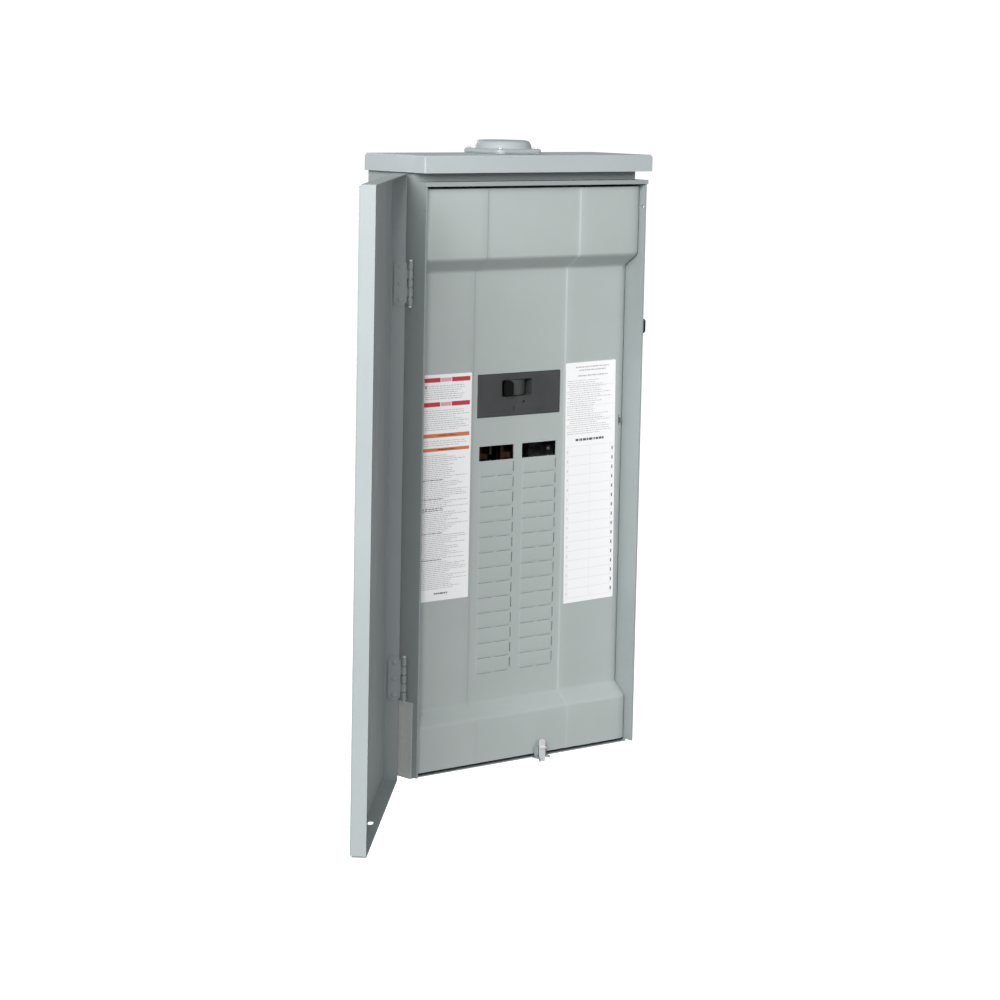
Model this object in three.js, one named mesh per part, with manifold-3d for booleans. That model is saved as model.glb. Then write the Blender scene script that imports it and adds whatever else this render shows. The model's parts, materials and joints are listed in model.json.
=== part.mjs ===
// Residential load center: a rainproof steel enclosure with a hinged cover, a stepped
// deadfront, a main breaker and two columns of branch spaces.
// Units are millimetres. X runs to the right, Y runs back into the wall, Z runs up.
// The origin is the middle of the enclosure's back face. The cover is drawn open.
import * as THREE from 'three';
import { mergeVertices } from 'three/addons/utils/BufferGeometryUtils.js';
import Module from 'manifold-3d';

const wasm = await Module();
wasm.setup();

// ---- driving dimensions -------------------------------------------------------------
const sheet = 1.2;            // steel thickness of every formed panel
const gap = 0.3;              // air left between parts that touch
const wide = 363.2;           // enclosure, side to side
const deep = 110;             // enclosure, wall to front edge
const bottom = -378.6;        // underside of the enclosure
const ledge = 347.6;          // top of the ledge in front of the neck
const neckFront = -88;        // front of the narrower neck above the ledge
const hoodWide = 376;
const hoodDeep = 114.8;
const hoodTop = 379.2;
const hoodDrop = 20.8;        // height of the hood's turned-down edges
const coverTop = 357.2;
const coverBottom = -381.8;
const coverLip = 18.4;        // depth of the cover's turned-back edges
const coverFace = -113.2;     // outer face of the closed cover
const coverOpen = 134.5;      // how far the cover stands open, in degrees
const hingeX = -185.6;
const hingeY = -88.4;
const hingeTall = 54;
const hingeMids = { upper: 226.2, lower: -255.5 };
const pitch = 19.05;          // one branch space
const rows = 15;
const firstRow = 20.1;        // top of the first branch space
const poleIn = 6.8;           // inner edge of a branch space
const poleOut = 63.9;         // outer edge of a branch space
const frontUpper = -102.4;    // deadfront face, top field
const frontLower = -98.2;     // deadfront face, bottom field
const frontMid = -80.3;       // deadfront face, middle field
const half = wide / 2;
const inner = half - sheet;   // inside face of a side wall

// ---- solid helpers ------------------------------------------------------------------
function solid(geometry) {
  const g = geometry.index ? geometry.toNonIndexed() : geometry.clone();
  g.deleteAttribute('normal');
  g.deleteAttribute('uv');
  const m = mergeVertices(g, 1e-4);
  return new wasm.Manifold(new wasm.Mesh({
    numProp: 3,
    vertProperties: new Float32Array(m.attributes.position.array),
    triVerts: new Uint32Array(m.index.array),
  }));
}

function block(x0, x1, y0, y1, z0, z1) {
  const g = new THREE.BoxGeometry(x1 - x0, y1 - y0, z1 - z0);
  g.translate((x0 + x1) / 2, (y0 + y1) / 2, (z0 + z1) / 2);
  return solid(g);
}

// a round bar along 'x', 'y' or 'z' between two places on that axis
function bar(axis, r, a, b, u, v, sides = 24, rEnd = r) {
  const g = new THREE.CylinderGeometry(rEnd, r, b - a, sides);
  if (axis === 'x') {
    g.rotateZ(-Math.PI / 2);
    g.translate((a + b) / 2, u, v);
  } else if (axis === 'y') {
    g.translate(u, (a + b) / 2, v);
  } else {
    g.rotateX(Math.PI / 2);
    g.translate(u, v, (a + b) / 2);
  }
  return solid(g);
}

// a closed outline in (y, z) pulled along X
function pullX(outline, x0, x1) {
  const shape = new THREE.Shape(outline.map(([y, z]) => new THREE.Vector2(y, z)));
  const g = new THREE.ExtrudeGeometry(shape, { depth: x1 - x0, bevelEnabled: false });
  g.applyMatrix4(new THREE.Matrix4().set(0, 0, 1, x0, 1, 0, 0, 0, 0, 1, 0, 0, 0, 0, 0, 1));
  return solid(g);
}

// a rounded square lying flat
function tile(cx, cy, side, round, z0, z1) {
  const h = side / 2;
  const s = new THREE.Shape();
  s.moveTo(-h + round, -h);
  s.lineTo(h - round, -h);
  s.absarc(h - round, -h + round, round, -Math.PI / 2, 0, false);
  s.lineTo(h, h - round);
  s.absarc(h - round, h - round, round, 0, Math.PI / 2, false);
  s.lineTo(-h + round, h);
  s.absarc(-h + round, h - round, round, Math.PI / 2, Math.PI, false);
  s.lineTo(-h, -h + round);
  s.absarc(-h + round, -h + round, round, Math.PI, 1.5 * Math.PI, false);
  const g = new THREE.ExtrudeGeometry(s, { depth: z1 - z0, bevelEnabled: false, curveSegments: 6 });
  g.translate(cx, cy, z0);
  return solid(g);
}

const join = (parts) => parts.reduce((a, b) => a.add(b));
const cut = (body, tools) => body.subtract(join(tools));

// the cover and its leaves are drawn closed and then swung open about the hinge line
function swing(body) {
  const t = -coverOpen * Math.PI / 180;
  const c = Math.cos(t);
  const s = Math.sin(t);
  const dx = hingeX - hingeX * c + hingeY * s;
  const dy = hingeY - hingeX * s - hingeY * c;
  return body.transform([c, s, 0, 0, -s, c, 0, 0, 0, 0, 1, 0, dx, dy, 0, 1]);
}

// ---- materials ----------------------------------------------------------------------
function finish(color, roughness, metalness) {
  return new THREE.MeshStandardMaterial({ color, roughness, metalness });
}
const paint = finish(0xaab2b2, 0.5, 0.1);
const hoodPaint = finish(0xbcc3c5, 0.5, 0.1);
const zinc = finish(0xc8ccd0, 0.35, 0.9);
const galvanized = finish(0x8b8f8c, 0.55, 0.7);
const aluminium = finish(0xb9bcc0, 0.4, 0.9);
const copper = finish(0x8a6248, 0.5, 0.9);
const blackPlastic = finish(0x17181a, 0.45, 0);
const greyPlastic = finish(0x4b4d4e, 0.5, 0);
const rubber = finish(0x1a1a1b, 0.8, 0);
const green = finish(0x2f7d46, 0.45, 0.4);
const paper = finish(0xf1f2f2, 0.7, 0);

const group = new THREE.Group();
group.name = 'load_center';

function put(name, body, material) {
  const m = body.getMesh();
  const g = new THREE.BufferGeometry();
  g.setAttribute('position', new THREE.BufferAttribute(new Float32Array(m.vertProperties), 3));
  g.setIndex(new THREE.BufferAttribute(new Uint32Array(m.triVerts), 1));
  const flat = g.toNonIndexed();
  flat.computeVertexNormals();
  const mesh = new THREE.Mesh(flat, material);
  mesh.name = name;
  group.add(mesh);
}

// ---- enclosure ----------------------------------------------------------------------
const neckTop = hoodTop - sheet - gap;
const hubX = 0;
const hubY = -38.5;
const hubHole = 31;           // radius of the conduit hub opening
const latchX = 28;            // the cover latch stands right of the middle
const latchY = -105.6;

function enclosureBox() {
  const body = join([
    block(-half, half, -deep, 0, bottom, ledge),
    block(-half, half, neckFront, 0, ledge - sheet, neckTop),
    block(-half - 1.4, half + 1.4, -deep - 1.2, -deep + sheet, ledge - 5.2, ledge),
  ]);
  const floor = bottom + sheet;
  const hem = 6.5;            // folded front edge of each side wall
  const setBack = 13;         // how far the floor's front edge stands behind the walls'
  const tab = 10;             // half width of the floor tab under the latch
  const notchTop = floor + sheet + 0.4;
  const room = [
    block(-inner, inner, -deep + hem, -sheet, floor, ledge - sheet),
    block(-inner + sheet, inner - sheet, -deep - 5, -deep + hem, floor + sheet, ledge - 5.2),
    block(-inner, inner, neckFront + sheet, -sheet, floor, neckTop - sheet),
    bar('z', hubHole, neckTop - 5, neckTop + 5, hubX, hubY, 40),
    block(latchX - 7, latchX + 7, -deep - 5, latchY + 4, bottom - 5, floor + 5),
    block(-half - 5, latchX - tab, -deep - 5, -deep + setBack, bottom - 5, notchTop),
    block(latchX + tab, half + 5, -deep - 5, -deep + setBack, bottom - 5, notchTop),
  ];
  const holeZ = 313.5;
  const holeY = -106;
  room.push(bar('x', 2, -half - 5, half + 5, holeY, holeZ, 12));
  room.push(bar('x', 1.5, -half - 5, -half + 5, holeY + 8.5, holeZ - 7, 10));
  for (const [x, z] of [[0, 322], [-128, -322], [128, -322]]) {
    room.push(bar('y', 4, -5, 5, x, z, 16));
  }
  return cut(body, room).add(join(knockouts()));
}

// pressed knockouts: discs standing slightly proud inside the walls
function knockouts() {
  const proud = 0.7;
  const floor = bottom + sheet;
  const out = [];
  for (const [x, y, r] of [[-120, -46, 31], [-30, -46, 25], [62, -46, 31], [138, -46, 16]]) {
    out.push(bar('z', r, floor - 0.4, floor + proud, x, y, 28));
  }
  for (const [y, z] of [[-46, -318], [-46, -262], [-46, 296]]) {
    out.push(bar('x', 14, -inner - 0.4, -inner + proud, y, z, 20));
    out.push(bar('x', 14, inner - proud, inner + 0.4, y, z, 20));
  }
  for (const x of [-72, 72]) {
    out.push(bar('y', 16, -sheet - proud, -sheet + 0.4, x, -322, 20));
  }
  return out;
}

function rainHood() {
  const h = hoodWide / 2;
  const low = hoodTop - hoodDrop;
  return cut(block(-h, h, -hoodDeep, -gap, low, hoodTop), [
    block(-h + sheet, h - sheet, -hoodDeep + sheet, 5, low - 5, hoodTop - sheet),
    bar('z', hubHole, hoodTop - 5, hoodTop + 5, hubX, hubY, 40),
  ]);
}

put('enclosure_box', enclosureBox(), paint);
put('rain_hood', rainHood(), hoodPaint);

// ---- hub closing plate --------------------------------------------------------------
const gasketTall = 1;
const plateSide = 73;
const plateLow = hoodTop + gap + gasketTall + gap;
const plateThick = 4.4;
const bossR = 36.2;
const bossTall = 10.5;
const screwOut = 29.6;        // closing-plate screws, from the hub centre on each axis

function lathe(points, cx, cy, sides) {
  const g = new THREE.LatheGeometry(points.map(([r, z]) => new THREE.Vector2(r, z)), sides);
  g.rotateX(Math.PI / 2);
  g.translate(cx, cy, 0);
  return solid(g);
}

function screwPlaces() {
  const out = [];
  for (const sx of [-1, 1]) {
    for (const sy of [-1, 1]) out.push([hubX + sx * screwOut, hubY + sy * screwOut]);
  }
  return out;
}

function closingPlate() {
  const a = plateLow + plateThick;
  const b = a + bossTall;
  const dome = lathe([
    [0, a - 1], [bossR, a - 1], [bossR - 0.6, a + 6], [bossR - 1.8, b - 3.6],
    [bossR - 3.2, b - 1.5], [bossR - 5.4, b - 0.4], [bossR - 8, b], [0, b],
  ], hubX, hubY, 48);
  const hollow = lathe([
    [0, plateLow - 5], [hubHole, plateLow - 5], [hubHole, b - 5],
    [hubHole - 3, b - 1.6], [0, b - 1.6],
  ], hubX, hubY, 40);
  const holes = screwPlaces().map(([x, y]) => bar('z', 2.1, plateLow - 3, a + 3, x, y, 12));
  return cut(tile(hubX, hubY, plateSide, 9, plateLow, a).add(dome), [hollow, ...holes]);
}

function gasket() {
  const z = hoodTop + gap;
  return cut(tile(hubX, hubY, plateSide - 1, 8.5, z, z + gasketTall), [
    bar('z', hubHole + 0.5, z - 5, z + 5, hubX, hubY, 40),
    ...screwPlaces().map(([x, y]) => bar('z', 2.1, z - 5, z + 5, x, y, 12)),
  ]);
}

put('hub_closing_plate', closingPlate(), hoodPaint);
put('hub_gasket', gasket(), rubber);
screwPlaces().forEach(([x, y], i) => {
  const top = plateLow + plateThick + gap;
  const head = bar('z', 3.1, top, top + 1.9, x, y, 14, 2.3);
  const shank = bar('z', 1.6, hoodTop + gap, top + 0.5, x, y, 10);
  put(`hub_plate_screw_${i + 1}`, head.add(shank), zinc);
});

// ---- deadfront ----------------------------------------------------------------------
const frontTop = ledge - 8.6;
const frontLow = bottom + 5.2;
const stepUpper = [253.6, 238.2];
const stepLower = [-302.4, -317.6];
const frontHalf = inner - 0.4;
const fieldHalf = 76;         // the centre field lies slightly deeper
const fieldDeep = 0.9;
const lap = 0.6;              // half width of the creases beside it
const flange = 13;            // depth of the deadfront's side returns
const windowHalf = 68.5;
const windowLow = 55.7;
const windowTop = 109.6;
const clipX = 172.5;          // slots for the clips that hold the deadfront
const clipMid = 39.5;

function faceLine(shift) {
  return [
    [frontLower + shift, frontLow], [frontLower + shift, stepLower[1]],
    [frontMid + shift, stepLower[0]], [frontMid + shift, stepUpper[1]],
    [frontUpper + shift, stepUpper[0]], [frontUpper + shift, frontTop],
  ];
}

function band(shift, thick, x0, x1) {
  return pullX([...faceLine(shift), ...faceLine(shift + thick).reverse()], x0, x1);
}

function twistoutSlits() {
  const out = [];
  const slit = 0.9;
  const y0 = frontMid - 5;
  const y1 = frontMid + 5;
  for (const side of [-1, 1]) {
    const xa = side < 0 ? -poleOut : poleIn;
    const xb = side < 0 ? -poleIn : poleOut;
    out.push(block(xa, xb, y0, y1, firstRow - pitch + slit, firstRow));
    for (let row = 1; row < rows; row += 1) {
      const top = firstRow - row * pitch;
      out.push(block(xa + 3, (xa + xb) / 2 - 3, y0, y1, top - pitch, top - pitch + slit));
      out.push(block((xa + xb) / 2 + 3, xb - 3, y0, y1, top - pitch, top - pitch + slit));
      out.push(block(xb - slit, xb + slit, y0, y1, top - pitch + 4, top - 3));
    }
  }
  return out;
}

function deadfront() {
  const body = join([
    band(0, sheet, -frontHalf, -fieldHalf + lap),
    band(fieldDeep, sheet, -fieldHalf - lap, fieldHalf + lap),
    band(0, sheet, fieldHalf - lap, frontHalf),
    band(0, flange, -frontHalf, -frontHalf + sheet),
    band(0, flange, frontHalf - sheet, frontHalf),
  ]);
  const y0 = frontMid - 5;
  const y1 = frontMid + 5;
  return cut(body, [
    block(-windowHalf, windowHalf, y0, y1, windowLow, windowTop),
    block(-clipX - 1.5, -clipX + 1.5, y0, y1, clipMid - 6.5, clipMid + 6.5),
    block(clipX - 1.5, clipX + 1.5, y0, y1, clipMid - 6.5, clipMid + 6.5),
    ...twistoutSlits(),
  ]);
}

put('deadfront_trim', deadfront(), paint);

// spring clips on the side walls whose tongues hold the deadfront through its slots
function trimClip(side) {
  const back = frontMid + 16;
  const ends = (a, b) => [Math.min(side * a, side * b), Math.max(side * a, side * b)];
  const low = clipMid - 3.5;
  const high = clipMid + 3.5;
  const foot = inner - gap;
  return join([
    block(...ends(clipX - 0.8, clipX + 0.8), frontMid - 1.2, back, low, high),
    block(...ends(clipX - 0.8, foot), back - 1.6, back, low, high),
    block(...ends(foot - 1.2, foot), back - 1.6, back + 14, low - 3, high + 3),
  ]);
}
put('trim_clip_left', trimClip(-1), zinc);
put('trim_clip_right', trimClip(1), zinc);

// ---- printed labels -----------------------------------------------------------------
const labelIn = 79.2;
const labelOut = 165;
const labelFace = frontMid - gap;
const labelThick = 0.2;
const warningLow = -165.5;
const warningTop = 113.5;
const directoryLow = -190;
const directoryTop = 117.6;
const directoryTilt = 0.9;    // the directory is stuck on slightly crooked, in degrees

function label(x0, x1, z0, z1) {
  return block(x0, x1, labelFace - labelThick, labelFace, z0, z1);
}

// turned in the plane of the deadfront about the label's own middle
function crooked(body, cx, cz, degrees) {
  const t = degrees * Math.PI / 180;
  const c = Math.cos(t);
  const s = Math.sin(t);
  const dx = cx - cx * c + cz * s;
  const dz = cz - cx * s - cz * c;
  return body.transform([c, 0, s, 0, 0, 1, 0, 0, -s, 0, c, 0, dx, 0, dz, 1]);
}

put('warning_label', label(-labelOut, -labelIn, warningLow, warningTop), paper);
put('circuit_directory', crooked(
  label(labelIn, labelOut, directoryLow, directoryTop),
  (labelIn + labelOut) / 2, (directoryLow + directoryTop) / 2, directoryTilt,
), paper);

// ---- main breaker -------------------------------------------------------------------
const play = 0.6;             // clearance round the breaker face in its window
const caseFace = -80.6;
const caseBack = -16.5;
const caseHalf = 66;
const caseLow = 44;
const caseTop = 140;
const pivotX = -4.4;          // the handle turns about a vertical line behind the face
const pivotY = -51.5;
const drumR = 28.5;
const handleLow = 81;
const handleTop = 100.6;
const handleAt = -28;         // the handle rests thrown to the left, in degrees
const throwLeft = -30;        // ends of the opening the handle travels in
const throwRight = 20;
const tripX = 7.1;            // round trip button hole
const tripZ = 72.7;
const markX = -9.3;           // short upright slot beside it
const markLow = 61.8;
const markTop = 67.4;
const throatIn = 16;          // openings above the line lugs
const throatOut = 52;

function breakerCase() {
  const body = join([
    block(-windowHalf + play, windowHalf - play, caseFace, caseFace + 8,
      windowLow + play, windowTop - play),
    block(-caseHalf, caseHalf, frontMid + sheet + 1.4, caseBack, caseLow, caseTop),
  ]);
  return cut(body, [
    bar('z', drumR + 0.8, handleLow - 0.8, handleTop + 0.8, pivotX, pivotY, 40),
    block(throwLeft, throwRight, caseFace - 5, pivotY, handleLow - 0.8, handleTop + 0.8),
    bar('y', 1.9, caseFace - 5, caseFace + 3, tripX, tripZ, 12),
    block(markX - 1, markX + 1, caseFace - 5, caseFace + 3, markLow, markTop),
    block(-throatOut, -throatIn, frontMid - 1, caseBack - 6, caseTop - 12, caseTop + 5),
    block(throatIn, throatOut, frontMid - 1, caseBack - 6, caseTop - 12, caseTop + 5),
  ]);
}

function breakerHandle() {
  const drum = bar('z', drumR, handleLow, handleTop, pivotX, pivotY, 48);
  const lever = block(pivotX - 6.2, pivotX + 6.2, pivotY - 41, pivotY - drumR + 3,
    handleLow + 0.6, handleTop - 0.6);
  const t = handleAt * Math.PI / 180;
  const c = Math.cos(t);
  const s = Math.sin(t);
  const dx = pivotX - pivotX * c + pivotY * s;
  const dy = pivotY - pivotX * s - pivotY * c;
  return drum.add(lever).transform([c, s, 0, 0, -s, c, 0, 0, 0, 0, 1, 0, dx, dy, 0, 1]);
}

put('main_breaker_case', breakerCase(), greyPlastic);
put('main_breaker_handle', breakerHandle(), blackPlastic);

// ---- interior -----------------------------------------------------------------------
const panBack = -5;
const panFront = -8;
const busFace = -34;

function interiorPan() {
  const body = block(-112, 112, panFront, panBack, -292, 210);
  const ribs = [-1, 1].map((s) => block(s * 108 - 4, s * 108 + 4, panFront - 6, panBack, -292, 210));
  return cut(join([body, ...ribs]), [
    block(-40, 40, panFront - 9, panBack + 5, 160, 196),
    ...panScrewPlaces().map(([x, z]) => bar('y', 2.4, -20, 5, x, z, 12)),
  ]);
}

function panScrewPlaces() {
  return [[-92, 198], [92, 198], [-92, -280], [92, -280]];
}

function busBar(side) {
  const x0 = side < 0 ? -27 : 11;
  const parts = [block(x0, x0 + 16, busFace, busFace + 3.2, -268, 42.5)];
  for (let row = 0; row < rows; row += 1) {
    const z = firstRow - (row + 0.5) * pitch;
    parts.push(block(x0 + 6.5, x0 + 9.7, busFace - 15, busFace + 1, z - 6, z + 6));
  }
  return join(parts);
}

function busInsulator() {
  const body = block(-60, 60, busFace + 3.5, panFront - gap, -272, 43);
  const grooves = [];
  for (const x of [-46, 0, 46]) grooves.push(block(x - 7, x + 7, busFace, busFace + 12, -280, 50));
  return cut(body, grooves);
}

function neutralBar(side) {
  const x = side * 84;
  const parts = [block(x - 6, x + 6, -46, -34, -170, 24)];
  for (let z = -162; z < 20; z += 12) parts.push(bar('y', 3.2, -49, -45, x, z, 10));
  const feet = [block(x - 5, x + 5, -35, panFront - gap, -150, -138)];
  feet.push(block(x - 5, x + 5, -35, panFront - gap, 4, 16));
  return join([...parts, ...feet]);
}

function lug(x, y0, y1, z0, z1, side) {
  return cut(block(x - side, x + side, y0, y1, z0, z1), [
    bar('z', side * 0.62, z0 - 5, z1 + 5, x, (y0 + y1) / 2 + 3, 20),
    bar('y', 4.4, y0 - 5, (y0 + y1) / 2, x, (z0 + z1) / 2, 16),
  ]);
}

put('interior_pan', interiorPan(), galvanized);
panScrewPlaces().forEach(([x, z], i) => {
  const y = panFront - gap;
  const head = bar('y', 4, y - 2.4, y, x, z, 14);
  put(`pan_screw_${i + 1}`, head.add(bar('y', 1.9, y - 1, -1.6, x, z, 10)), zinc);
});
put('bus_insulator', busInsulator(), blackPlastic);
put('bus_bar_left', busBar(-1), copper);
put('bus_bar_right', busBar(1), copper);
put('neutral_bar_left', neutralBar(-1), aluminium);
put('neutral_bar_right', neutralBar(1), aluminium);
put('neutral_strap', join([
  block(-84, 84, panFront - 4.2, panFront - gap, 47, 59),
  block(-90, -78, panFront - 32, panFront - gap, 47, 59),
  block(78, 90, panFront - 32, panFront - gap, 47, 59),
]), aluminium);
for (const [name, side] of [['left', -1], ['right', 1]]) {
  const x = side * 34;
  put(`line_lug_${name}`, lug(x, -62, -28, caseTop + gap, caseTop + 34, 14), aluminium);
  put(`line_screw_${name}`, bar('y', 4, -66, -47.5, x, caseTop + 17 + gap / 2, 16), zinc);
}
put('neutral_lug', lug(-84, -44, panFront - 3, 150, 180, 12), aluminium);
put('neutral_lug_screw', bar('y', 4, -47, -30, -84, 165, 16), zinc);
put('bonding_screw', join([
  bar('y', 4.6, panFront - 35.5, panFront - 32 - gap, 84, 53, 16),
]), green);

function groundBar() {
  const x = 146;
  const parts = [block(x - 5.5, x + 5.5, -26, -13, -346, -226)];
  for (let z = -338; z < -230; z += 12) parts.push(bar('y', 3, -28.6, -25, x, z, 10));
  parts.push(block(x - 4, x + 4, -14, -sheet - gap, -340, -330));
  parts.push(block(x - 4, x + 4, -14, -sheet - gap, -242, -232));
  return join(parts);
}
put('ground_bar', groundBar(), aluminium);

// ---- cover latch --------------------------------------------------------------------
const latchTip = coverBottom - 1.6;
put('cover_latch', join([
  block(latchX - 4.5, latchX + 4.5, latchY - 0.8, latchY + 0.8, latchTip, -359),
  bar('y', 4.5, latchY - 0.8, latchY + 0.8, latchX, -359, 18),
  block(latchX - 4.5, latchX + 4.5, latchY - 3.4, latchY + 0.8, -366.5, -364.5),
]), zinc);
put('latch_bracket', cut(block(latchX - 8.5, latchX + 8.5, latchY + 1.6, latchY + 5.4,
  bottom + 2 * sheet + gap, -364), [
  block(latchX - 5.2, latchX + 5.2, latchY, latchY + 3.6, -380, -360),
]), galvanized);

// ---- cover --------------------------------------------------------------------------
const coverHalf = hoodWide / 2;

function coverPanel() {
  const x0 = -coverHalf;
  const x1 = coverHalf;
  const rim = coverFace + coverLip;
  return cut(block(x0, x1, coverFace, rim, coverBottom, coverTop), [
    block(x0 + sheet, x1 - sheet, coverFace + sheet, rim + 5, coverBottom + sheet, coverTop - sheet),
    block(latchX - 5, latchX + 13, latchY - 3.2, latchY + 3.2, coverBottom - 5, coverBottom + 5),
  ]);
}
put('door_panel', swing(coverPanel()), hoodPaint);

// ---- hinges -------------------------------------------------------------------------
const knuckleR = 3.2;
const boreR = 1.65;
const knuckles = 5;
const leafSheet = 1.2;

// knuckles[0] is the lowest; the enclosure leaf carries the even ones
function leaf(mid, odd) {
  const step = hingeTall / knuckles;
  const low = mid - hingeTall / 2;
  const parts = [];
  const bores = [];
  for (let k = 0; k < knuckles; k += 1) {
    const z0 = low + k * step + 0.2;
    const z1 = z0 + step - 0.4;
    if ((k % 2 === 1) === odd) {
      parts.push(bar('z', knuckleR, z0, z1, hingeX, hingeY, 20));
      parts.push(tab(z0, z1, odd));
    }
  }
  bores.push(bar('z', boreR, low - 5, low + hingeTall + 5, hingeX, hingeY, 16));
  return cut(join([...parts, plate(low, odd)]), bores);
}

function tab(z0, z1, odd) {
  if (odd) return block(hingeX - 0.9, hingeX + 0.3, hingeY - 5, hingeY - boreR, z0, z1);
  return block(hingeX + 2.1, half * -1 - gap, hingeY, hingeY + 5, z0, z1);
}

function plate(low, odd) {
  if (odd) return block(hingeX - 0.9, hingeX + 0.3, hingeY - 20, hingeY - 4.4, low, low + hingeTall);
  const x1 = -half - gap;
  return block(x1 - leafSheet, x1, hingeY + 4.4, hingeY + 24, low, low + hingeTall);
}

function hingePin(mid) {
  const low = mid - hingeTall / 2;
  return join([
    bar('z', 1.3, low - 1, low + hingeTall + 1, hingeX, hingeY, 16),
    bar('z', 2.7, low + hingeTall + 0.4, low + hingeTall + 1.8, hingeX, hingeY, 16),
    bar('z', 2.3, low - 1.8, low - 0.4, hingeX, hingeY, 16),
  ]);
}

for (const [name, mid] of Object.entries(hingeMids)) {
  put(`hinge_box_leaf_${name}`, leaf(mid, false), paint);
  put(`hinge_door_leaf_${name}`, swing(leaf(mid, true)), paint);
  put(`hinge_pin_${name}`, hingePin(mid), zinc);
}

// ---- side wall trim -----------------------------------------------------------------
const strip = { thick: 1, front: -101, back: -76, low: -377, top: -283.5 };
put('side_stiffener', block(-half - gap - strip.thick, -half - gap,
  strip.front, strip.back, strip.low, strip.top), galvanized);

// the pad fills the space to the shut cover's side edge and has a thinner rim
const pad = { out: 4.7, front: -109.3, back: -100.3, mid: 162, reach: 7.5 };
const padRim = 1.5;
put('cover_bumper', join([
  block(half + gap, half + pad.out, pad.front, pad.back, pad.mid - pad.reach, pad.mid + pad.reach),
  block(half + gap, half + pad.out - 1, pad.front + 0.7, pad.back + padRim,
    pad.mid - pad.reach - padRim, pad.mid + pad.reach + padRim),
]), rubber);

export default group;
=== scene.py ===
"""Looks for a residential load center: enclosure, rain hood, open cover, stepped deadfront,
main breaker and what is behind it. Lengths are given in millimetres and scaled once, in piece()."""

import json
import math
import random

import bmesh
import bpy
from mathutils import Matrix, Vector

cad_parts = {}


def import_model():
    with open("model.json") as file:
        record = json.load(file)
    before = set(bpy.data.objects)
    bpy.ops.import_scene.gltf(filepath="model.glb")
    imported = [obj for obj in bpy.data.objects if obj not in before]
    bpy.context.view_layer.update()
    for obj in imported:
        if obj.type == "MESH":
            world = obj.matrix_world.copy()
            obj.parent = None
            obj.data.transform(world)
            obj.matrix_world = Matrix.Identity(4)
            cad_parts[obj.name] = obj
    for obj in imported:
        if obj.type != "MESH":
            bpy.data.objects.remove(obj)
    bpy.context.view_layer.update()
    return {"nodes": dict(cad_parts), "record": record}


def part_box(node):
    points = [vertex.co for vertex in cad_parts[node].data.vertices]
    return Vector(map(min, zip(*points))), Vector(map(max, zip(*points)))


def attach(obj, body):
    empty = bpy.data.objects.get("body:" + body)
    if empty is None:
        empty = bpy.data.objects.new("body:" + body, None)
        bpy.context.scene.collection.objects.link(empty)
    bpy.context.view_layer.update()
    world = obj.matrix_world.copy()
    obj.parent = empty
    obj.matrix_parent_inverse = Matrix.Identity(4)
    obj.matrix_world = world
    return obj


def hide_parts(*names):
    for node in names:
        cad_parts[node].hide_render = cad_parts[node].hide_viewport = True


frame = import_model()
nodes = frame["nodes"]
scene = bpy.context.scene
MM = 0.001


# ---------------------------------------------------------------- camera
def make_camera():
    across = Vector((0.7543481, -0.6561775, 0.0197494))
    down = Vector((-0.0686330, -0.1087490, -0.9916971))
    ahead = Vector((0.6528771, 0.7467293, -0.1270701))
    data = bpy.data.cameras.new("camera")
    data.sensor_width = 36
    data.lens = 109.63
    data.shift_x = 0.0076
    data.shift_y = -0.0399
    data.clip_end = 60
    camera = bpy.data.objects.new("camera", data)
    turn = Matrix((across, -down, -ahead)).transposed().to_4x4()
    camera.matrix_world = Matrix.Translation((-2.50467, -2.89604, 0.48159)) @ turn
    scene.collection.objects.link(camera)
    scene.camera = camera


make_camera()
scene.view_settings.view_transform = "Standard"
scene.view_settings.look = "None"


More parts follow.
